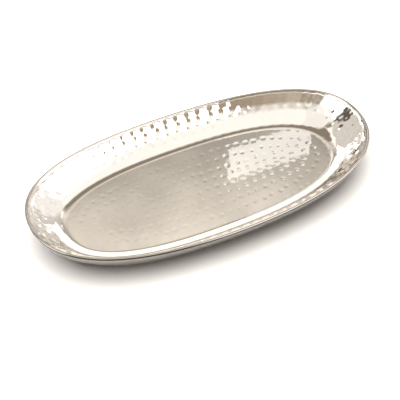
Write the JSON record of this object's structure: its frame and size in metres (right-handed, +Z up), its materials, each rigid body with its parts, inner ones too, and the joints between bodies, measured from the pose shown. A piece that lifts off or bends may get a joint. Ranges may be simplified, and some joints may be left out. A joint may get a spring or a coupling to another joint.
{
  "type": "hammered oval serving tray",
  "caption": "Long oval double-walled serving tray with a hammered polished steel dish, smooth outer shell and a rounded rim that sweeps up at the ends.",
  "frame": {"origin": "centre of the flat underside, on the table", "axes": "+Z up out of the dish, +X along the tray's length, +Y across its width"},
  "size_m": [0.34, 0.165, 0.0359],
  "materials": {
    "hammered_steel": "hammered and mirror polished",
    "polished_steel": "smooth mirror polish",
    "polished_rim": "smooth mirror polish"
  },
  "bodies": {
    "root": {"hammered_dish": "hammered_steel", "outer_shell": "polished_steel", "rim_edge": "polished_rim"}
  },
  "joints": []
}
